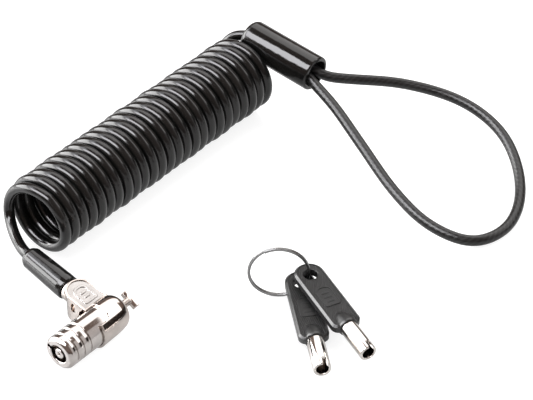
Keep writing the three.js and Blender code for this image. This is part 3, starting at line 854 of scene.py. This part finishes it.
def make_rope():
    """Six strands laid round a seventh, from the stud into the boot."""
    start, end = 14.9, BOOT_START + 2.2
    strands = []
    for k in range(7):
        t = np.linspace(0, 1, 60)
        radius = 0.0 if k == 0 else 0.85
        angle = TAU * (k / 6 + 0.5 * t)
        local = np.stack([start + (end - start) * t, radius * np.cos(angle), radius * np.sin(angle)], 1)
        path = np.array([LUG_PLACE @ Vector(p) for p in local])
        strands.append(sweep("strand", *resample(path, 0.25), 0.42, 10))
    dress(join("rope_end_strands", strands), PIN_STEEL, "cable", "steel", "rope_end")


def make_lug_end():
    """The swivel stud with its collar, the pin that keeps it in the lug, and the cable boot."""
    start, outside, waist, collar, rope = 9.0, 2.45, 1.5, 3.9, 1.7
    collar_end = COLLAR_START + 2.7
    stud = fillet([
        (start, 0, 0), (start, outside, 0.2), (11.3, outside, 0.1), (11.3, waist, 0.1), (13.1, waist, 0.1),
        (13.1, outside, 0.1), (COLLAR_START, outside, 0), (COLLAR_START, collar, 0.35),
        (collar_end, collar, 0.35), (collar_end, rope, 0), (14.6, rope, 0), (14.6, 0, 0),
    ])
    dress(lathe("swivel_stud_turned", stud, LUG_PLACE, 96), NICKEL, "cable", "nickel", "swivel_stud")
    pin = fillet([(-3.45, 0, 0), (-3.45, 0.6, 0.15), (4.0, 0.6, 0.15), (4.0, 0, 0)])
    pin = lathe("swivel_pin_pressed", pin, CROSS_PIN_PLACE, 32)
    dress(pin, PIN_STEEL, "lock_body", "steel", "swivel_pin")
    inside, shoulder = CABLE_R + 0.1, BOOT_START + 2.2
    boot = fillet([
        (BOOT_START, rope, 0), (BOOT_START, 4.45, 0.6), (BOOT_START + 2.5, 4.5, 3),
        (BOOT_END - 1.6, 4.05, 1.6), (BOOT_END, 3.2, 0.6), (BOOT_END, inside, 0.15),
        (shoulder, inside, 0), (shoulder, rope, 0),
    ], closed=True, steps=8)
    boot = lathe("cable_boot_moulded", boot, LUG_PLACE, 96, closed=True)
    dress(boot, BOOT_BLACK, "cable", "moulded_rubber", "cable_boot")
    make_rope()


# ---- coil and clamp


def on_axis(place, distance):
    """A point on the frame's X axis."""
    return np.array(place @ Vector((distance, 0, 0)))


def coil_point(turn):
    """The cable's centreline in the coil, with the small unevenness of a real one."""
    wobble = 0.16 * math.sin(1.7 * turn + 0.6) + 0.10 * math.sin(4.1 * turn + 2.0)
    sway = 0.12 * math.sin(2.6 * turn)
    ease = max(0.0, min(1.0, turn / 2, (COIL_TURNS - turn) / 2))
    radius = COIL_R + wobble * ease
    angle = TAU * turn
    x = COIL_CENTRE.x + turn * COIL_PITCH + sway * ease
    z = COIL_CENTRE.z + radius * math.sin(angle)
    return np.array([x, COIL_CENTRE.y + radius * math.cos(angle), max(z, FLOOR_Z + CABLE_R)])


def make_coil():
    """The cable from the boot through the coil into the clamp."""
    straight = [on_axis(LUG_PLACE, BOOT_START + d) for d in (2.4, 6, 10, 14, 17, 20.5, 23)]
    curl = [np.array(p) for p in ((-7.6, 46.3, 2.7), (-4.9, 51.2, 1.5), (-1.2, 57.3, 1.2), (1.5, 61.1, 3.8))]
    lead = straight + curl
    per_turn, samples = 12, 8
    turns = [coil_point(i / per_turn) for i in range(per_turn * COIL_TURNS + 1)]
    tail = [np.array(p) for p in ((120.0, 61.3, 12.6), (123.2, 58.2, 17.2))]
    tail += [on_axis(CLAMP_PLACE, d) for d in (0.5, 3, 5.4)]
    path = catmull(lead + turns + tail, samples)
    coil_start = len(lead) * samples
    coil_end = (len(lead) + len(turns) - 1) * samples
    weight = np.clip((np.arange(len(path)) - coil_start) / (coil_end - coil_start), 0, 1)
    path = smooth_path(path, 3)
    bend = slice(len(straight) * samples, coil_start + 4 * samples)
    path[bend] = smooth_path(path[bend], 60)
    before = lengths(path)
    path, distance = resample(path, 1.45)
    weight = np.interp(distance, before, weight)
    sides = 22
    swell = 1 + 0.11 * np.clip(np.minimum(weight, 1 - weight) * COIL_TURNS * 2, 0, 1)
    coil = sweep("coil_cable_jacket", path, distance, CABLE_R, sides, swell)
    end = COIL_CENTRE + Vector((COIL_TURNS * COIL_PITCH, 0, 0))
    dress_blend(coil, COIL_JACKET, ("cable", "anchor_loop"), COIL_CENTRE, end, "cable_jacket", "coil_cable")


def strand_holes(start, end):
    """Cutters for the two cable ends that lie side by side in the clamp."""
    places = [CLAMP_PLACE @ Matrix.Translation((0, side * STRAND, 0)) for side in (-1, 1)]
    return [drill(start, end, STRAND_BORE, place, 48) for place in places]


def make_clamp():
    """The moulded clamp, and the ferrule pressed round both cable ends inside it."""
    end, mouth = CLAMP_LENGTH, CLAMP_LENGTH - 3.2
    outside = fillet([
        (0, 2.2, 0), (0, CLAMP_R, 4.2), (end, CLAMP_R, 1.5), (end, 5.3, 0.4),
        (mouth, 4.9, 0.2), (mouth, 0, 0),
    ], steps=9)
    core = lathe("clamp_sleeve_moulded", [(8.0, 0), (8.0, 2.2)] + outside, CLAMP_PLACE, 112)
    pocket = block((14.8, 10.3, 5.8), (17, 0, 0), CLAMP_PLACE)
    combine(core, [pocket] + strand_holes(7.5, end + 1), "DIFFERENCE")
    dress(core, CLAMP_BLACK, "anchor_loop", "moulded_rubber", "clamp_sleeve")
    radius, right = 2.6, math.pi / 2
    oval = arc(STRAND, 0, radius, -right, right, 17) + arc(-STRAND, 0, radius, right, 3 * right, 17)
    lie = CLAMP_PLACE @ quarter("Z") @ quarter("X")
    ferrule = prism("crimp_ferrule_pressed", oval, 10.2, 23.8, lie, edge=0.3)
    combine(ferrule, strand_holes(5, 30), "DIFFERENCE")
    dress(ferrule, PIN_STEEL, "anchor_loop", "steel", "crimp_ferrule")


def make_loop():
    """The end loop, out of the clamp and back in. Points are (along, across) the clamp's axis."""
    shape = [
        (8.5, STRAND), (20, STRAND), (29.5, STRAND), (33.5, 2.7), (42, 9.6), (58, 24.2), (79, 33.8),
        (98, 32.4), (114.5, 21.6), (126, 6.5), (129.7, -8), (125, -21.6), (110, -26.9), (92, -24),
        (66, -13.7), (47, -6.0), (34, -2.5), (29.5, -STRAND), (20, -STRAND), (8.5, -STRAND),
    ]
    places = [CLAMP_PLACE if x < CLAMP_LENGTH - 2 else LOOP_PLACE for x, _ in shape]
    path = catmull([np.array(place @ Vector((x, y, 0))) for place, (x, y) in zip(places, shape)], 24)
    path, _ = resample(path, 0.8)
    path, distance = resample(smooth_path(path, 40), 0.8)
    loop = sweep("loop_cable_jacket", path, distance, CABLE_R, 28)
    dress(loop, LOOP_JACKET, "anchor_loop", "cable_jacket", "loop_cable")


# ---- keys and ring


def bow_outline():
    """Round at the ring's end, with rounded corners at the tube's end."""
    half, corner, right = BOW_WIDTH / 2, 2.8, math.pi / 2
    points = arc(half - corner, BOW_BOTTOM + corner, corner, -right, 0, 10)
    points += arc(0, BOW_TOP - half, half, 0, math.pi, 41)
    return points + arc(corner - half, BOW_BOTTOM + corner, corner, math.pi, 3 * right, 10)


def crossing(outline, origin, direction):
    """Where a line enters and leaves a convex outline, as distances along it."""
    hits = []
    for i, (x, y) in enumerate(outline):
        next_x, next_y = outline[(i + 1) % len(outline)]
        ex, ey = next_x - x, next_y - y
        denominator = direction.x * ey - direction.y * ex
        if abs(denominator) < 1e-9:
            continue
        t = ((x - origin.x) * ey - (y - origin.y) * ex) / denominator
        s = ((x - origin.x) * direction.y - (y - origin.y) * direction.x) / denominator
        if -1e-9 <= s <= 1 + 1e-9:
            hits.append(t)
    return (min(hits), max(hits)) if len(hits) > 1 else None


def ridged_panel(outline, level, sign, place):
    """Fine slanting ridges over an outline, closed underneath. Sign is 1 for the top face, -1 below."""
    slant = math.radians(62) * sign
    direction = Vector((math.cos(slant), math.sin(slant)))
    across = Vector((-direction.y, direction.x))
    reach = [across.x * x + across.y * y for x, y in outline]
    pitch, per_ridge, height, depth = 0.62, 8, 0.17, 0.5
    step = pitch / per_ridge
    first, last = int(min(reach) / step) + 1, int(max(reach) / step) - 1
    verts, faces = [], []
    rows = 0
    for k in range(first, last + 1):
        origin = across * (k * step)
        span = crossing(outline, origin, direction)
        if span is None or span[1] - span[0] < 0.2:
            continue
        lift = height * (0.5 + 0.5 * math.cos(TAU * k / per_ridge)) ** 0.7
        for t in span:
            point = origin + direction * t
            verts.append(place @ Vector((point.x, point.y, sign * (level + lift))))
            verts.append(place @ Vector((point.x, point.y, sign * (level - depth))))
        rows += 1
    last = 4 * (rows - 1)
    for a in range(0, last, 4):
        b = a + 4
        faces += [[a, a + 2, b + 2, b], [a + 1, b + 1, b + 3, a + 3]]
        faces += [[a, b, b + 1, a + 1], [a + 2, a + 3, b + 3, b + 2]]
    faces += [[0, 1, 3, 2], [last, last + 2, last + 3, last + 1]]
    return new_piece("ridges", verts, faces)


def smooth_edges(bow, place, outline):
    """Gives the bow's faces outside the outline the smoother plastic."""
    inverse = place.inverted()
    bow.data.materials.append(KEY_EDGE)
    sides = list(zip(outline, outline[1:] + outline[:1]))
    for face in bow.data.polygons:
        x, y, _ = inverse @ (face.center / MM)
        inside = all((bx - ax) * (y - ay) > (by - ay) * (x - ax) for (ax, ay), (bx, by) in sides)
        face.material_index = 0 if inside else 1


def make_emblem(half, side, place):
    """A plain raised tile with three bars, on the top face (side 1) or the bottom one (-1)."""
    flip = place @ Matrix.Rotation(math.pi if side < 0 else 0.0, 4, "Y")
    outline = rounded(3.0, EMBLEM_LOW, EMBLEM_HIGH, 0.9, 2.4, 8)
    tile = prism("tile", outline, half - 0.5, half + 0.06, flip, edge=0.12, edge_low=0)
    combine(tile, [prism("cut", inset(outline, 0.5), half - 0.12, half + 1, flip)], "DIFFERENCE")
    parts = [tile]
    for k in range(3):
        y = EMBLEM_LOW + 2.0 + 2.1 * k
        bar = rounded(1.5, y, y + 0.9, 0.3)
        parts.append(prism("bar", bar, half - 0.3, half, flip, edge=0.08, edge_low=0))
    return parts


def make_bow(outline, place, lengthwise):
    """The plastic bow: sunk ridged panels and emblems on both faces, the tube's boss and the ring hole."""
    half = BOW_THICKNESS / 2
    bow = prism("bow", outline, -half, half, place, edge=0.72, steps=1)
    well = inset(outline, 1.0)
    wells = ((half - 0.22, half + 1), (-half - 1, -half + 0.22))
    combine(bow, [prism("cut", well, low, high, place) for low, high in wells], "DIFFERENCE")
    panel = inset(outline, 1.07)
    raised = [ridged_panel(panel, half - 0.30, sign, place) for sign in (1, -1)]
    raised += make_emblem(half, 1, place) + make_emblem(half, -1, place)
    combine(bow, raised, "UNION")
    end = -BOW_BOTTOM
    quarter_turn = np.linspace(0, math.pi / 2, 22)
    dome = [(end - 1.2 - BOSS_DOME * math.cos(a), BOSS_R * math.sin(a)) for a in quarter_turn]
    boss = dome + fillet([(end - 1.1, BOSS_R, 0), (end, BOSS_R, 0.5), (end, 0, 0)])
    combine(bow, [lathe("boss", boss, lengthwise, 64)], "UNION")
    hole = fillet([
        (-6, 0, 0), (-6, 3.9, 0), (-half - 0.05, 3.1, 0), (-half + 0.45, 2.5, 0.3), (half - 0.45, 2.5, 0.3),
        (half + 0.05, 3.1, 0), (6, 3.9, 0), (6, 0, 0),
    ])
    hole = lathe("cut", hole, place @ quarter("Y", -1), 64)
    return combine(bow, [hole, drill(end - 6, end + 1, 1.45, lengthwise)], "DIFFERENCE")


def make_key_tube(name, lengthwise):
    """The metal tube, open at its end, with the notch that the lock's keyway needs."""
    start, end = -BOW_BOTTOM + 0.3, -KEY_END
    shank, bore, depth = 1.2, 2.2, 8
    profile = fillet([
        (start - 6, 0, 0), (start - 6, shank, 0.2), (start, shank, 0), (start, KEY_TUBE_R, 0.15),
        (end, KEY_TUBE_R, 0.4), (end, bore, 0.25), (end - depth, bore, 0), (end - depth, 0, 0),
    ])
    notch = block((3.4, 1.7, 3), (end - 1.5, 0.9, KEY_TUBE_R), lengthwise)
    return combine(lathe(name, profile, lengthwise, 96), [notch], "DIFFERENCE")


def make_key(letter):
    """Both keys are shaped in key a's place; key b's pieces are then moved to its own."""
    place = key_place("a")
    move = Matrix.Scale(MM, 4) @ key_place(letter) @ place.inverted() @ Matrix.Scale(1 / MM, 4)
    outline, lengthwise = bow_outline(), place @ quarter("Z", -1)
    bow = make_bow(outline, place, lengthwise)
    bow.name = f"key_{letter}_bow_moulded"
    dress(bow, KEY_BLACK, f"key_{letter}", "key_plastic", f"key_{letter}_bow")
    smooth_edges(bow, place, inset(outline, 0.9))
    bow.data.transform(move)
    metal = make_key_tube(f"key_{letter}_tube_turned", lengthwise)
    metal.data.transform(move)
    dress(metal, TUBE_CHROME, f"key_{letter}", "nickel", f"key_{letter}_tube")


def make_ring():
    """Two flat turns of wire, with both ends showing, that step across once to lie side by side."""
    low, high = node_box("split_ring")
    centre = (low + high) / 2
    place = Matrix.Translation(centre) @ Matrix.Rotation(math.radians(39.7), 4, "Z")
    path = []
    for t in np.linspace(0, 1, 361):
        angle = math.radians(62) + TAU * RING_TURNS * t
        shift = np.clip((t - 0.44) / 0.12, 0, 1)
        x = RING_WIRE * (shift * shift * (3 - 2 * shift) - 0.5)
        path.append(np.array(place @ Vector((x, RING_R * math.cos(angle), RING_R * math.sin(angle)))))
    path, distance = resample(np.array(path), 0.45)
    axis = np.array(place.to_3x3() @ Vector((1, 0, 0)))
    middle = np.array(centre)
    outline = rounded(0.27, -0.5, 0.5, 0.16, steps=3)
    rings = []
    for point in path:
        out = point - middle
        out -= axis * (out @ axis)
        out /= np.linalg.norm(out)
        rings.append([point + axis * a + out * b for a, b in outline])
    dress(skin("split_ring_wire", rings, distance, 40), WIRE_STEEL, "key_ring", "steel", "split_ring")


make_housing()
make_badge()
make_barrel()
make_plug_and_shell()
make_pins()
make_spindle()
make_lug_end()
make_coil()
make_clamp()
make_loop()
make_key("a")
make_key("b")
make_ring()
paint(frame["nodes"]["sleeve_pin"], PIN_STEEL)

# ---- floor, light and camera


def table_material():
    """Pale and faintly glossy. It glows a little, so that it stays white in the picture."""
    m = Nodes("pale_table")
    grain = m.noise(m.coordinates(), 900.0, 2.0)
    m.set(Base_Color=m.ramp(grain, [(0.3, grey(0.36)), (0.7, grey(0.38))]), Roughness=0.22)
    reflected = m.add("LightPath").outputs["Is Glossy Ray"]
    m.set(Emission_Color=(1, 1, 1, 1), Emission_Strength=m.spread(reflected, 0.80, 0.34))
    return m.owner


def make_table():
    mesh = bpy.data.meshes.new("table")
    corners = [(-3, -3, 0), (3, -3, 0), (3, 3, 0), (-3, 3, 0)]
    mesh.from_pydata(corners, [], [(0, 1, 2, 3)])
    mesh.materials.append(table_material())
    table = add_object("table", mesh)
    table.matrix_world = Matrix.Translation((0, 0, (FLOOR_Z - 0.02) * MM))


def soft_light(name, offset, size, power):
    """An area lamp aimed at the middle of the view. Metal reflects the world's cards instead of it."""
    data = bpy.data.lights.new(name, "AREA")
    data.shape = "RECTANGLE"
    data.size, data.size_y = size
    data.energy = power
    lamp = add_object(name, data)
    lamp.location = AIM + Vector(offset)
    lamp.rotation_euler = (-Vector(offset)).to_track_quat("-Z", "Y").to_euler()
    lamp.visible_glossy = False


AIM = Vector((63.6, -7.55, 7.7)) * MM
make_table()
soft_light("overhead", (0.45, 0.15, 0.80), (0.75, 0.5), 6.0)
soft_light("side_fill", (-0.5, 0.75, 0.55), (0.6, 0.6), 3.0)
soft_light("front_fill", (0.3, -1.0, 0.6), (0.9, 0.6), 3.0)


# Reflected cards: reach along X, then degrees around the X axis from straight up towards -Y, then light.
CARDS = [
    ((0.20, 0.90), (-48, 0), grey(2.3)),
    ((0.545, 0.75), (0, 58), grey(3.0)),
    ((0.25, 0.535), (34, 92), (0.55, 0.56, 0.57)),
    ((-0.72, -0.30), (-45, 16), (14.0, 14.0, 14.5)),
    ((-0.28, 0.12), (-50, -32), (4.0, 4.1, 4.3)),
    ((-0.75, 0.02), (-86, -52), grey(12.0)),
]
DARK_BAND = (0.54, 1.2), (56, 100)


def make_world():
    """White for the eye and for soft light; a brown room with pale cards for reflections."""
    m = Nodes("studio", world=True)
    bpy.context.scene.world = m.owner
    x, y, z = m.add("SeparateXYZ", Vector=m.coordinates("Generated")).outputs
    around = m.math("MULTIPLY", m.math("ARCTAN2", m.math("MULTIPLY", y, -1.0), z), 180 / math.pi)
    light = m.ramp(z, [(0.0, (0.10, 0.07, 0.06)), (0.3, (0.24, 0.18, 0.155)), (0.9, (0.28, 0.21, 0.18))])

    def patch(reach, angles):
        return m.math("MULTIPLY", m.window(x, *reach, 0.01), m.window(around, *angles, 3))

    light = m.scaled(light, m.math("SUBTRACT", 1.0, m.math("MULTIPLY", patch(*DARK_BAND), 0.85)))
    for reach, angles, glow in CARDS:
        total = m.add("VectorMath", operation="ADD")
        m.feed(total, 0, light)
        m.feed(total, 1, m.scaled(glow, patch(reach, angles)))
        light = total.outputs[0]
    room = m.add("Background", Color=light)
    m.set(Color=(1, 1, 1, 1), Strength=0.95)
    mix = m.add("MixShader")
    m.feed(mix, 0, m.add("LightPath").outputs["Is Glossy Ray"])
    m.feed(mix, 1, m.shader.outputs[0])
    m.feed(mix, 2, room.outputs[0])
    m.feed(m.tree.nodes["World Output"], 0, mix.outputs[0])


make_world()

camera_data = bpy.data.cameras.new("camera")
camera_data.lens = 162.1013
camera_data.clip_end = 20
camera = add_object("camera", camera_data)
azimuth, elevation, distance = math.radians(-50.25), math.radians(39.4), 0.8631
level = math.cos(elevation)
back = Vector((math.sin(azimuth) * level, -math.cos(azimuth) * level, math.sin(elevation)))
camera.location = AIM + back * distance
camera.rotation_mode = "QUATERNION"
camera.rotation_quaternion = (-back).to_track_quat("-Z", "Y")
bpy.context.scene.camera = camera
bpy.context.scene.view_settings.view_transform = "Standard"
